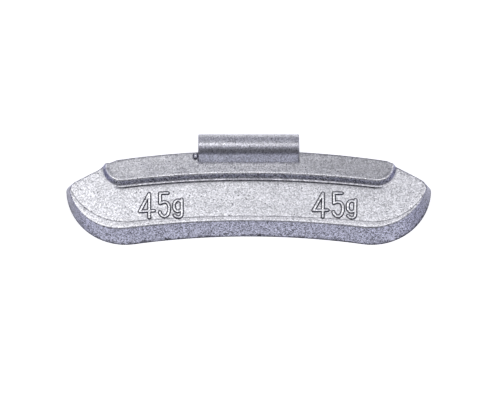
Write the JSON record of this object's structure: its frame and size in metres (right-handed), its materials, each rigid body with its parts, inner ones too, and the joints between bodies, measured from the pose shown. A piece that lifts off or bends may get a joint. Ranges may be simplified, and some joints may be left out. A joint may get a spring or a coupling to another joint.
{
  "type": "wheel balance weight",
  "caption": "Knock-on wheel balance weight: a curved zinc casting with a stepped face, set on a spring steel clip that grips the lip of a steel rim.",
  "frame": {"origin": "on the flat back of the casting, in the middle of its length and about halfway between its curved edges", "axes": "+X along the weight, +Y away from the wheel's axis, +Z out of the face; the wheel's axis is parallel to Z and crosses the Y axis at -183 mm"},
  "size_m": [0.0816, 0.0247, 0.0069],
  "materials": {
    "cast_zinc": "satin",
    "spring_steel": "satin"
  },
  "bodies": {
    "root": {"weight_body": "cast_zinc", "spring_clip": "spring_steel"}
  },
  "joints": []
}
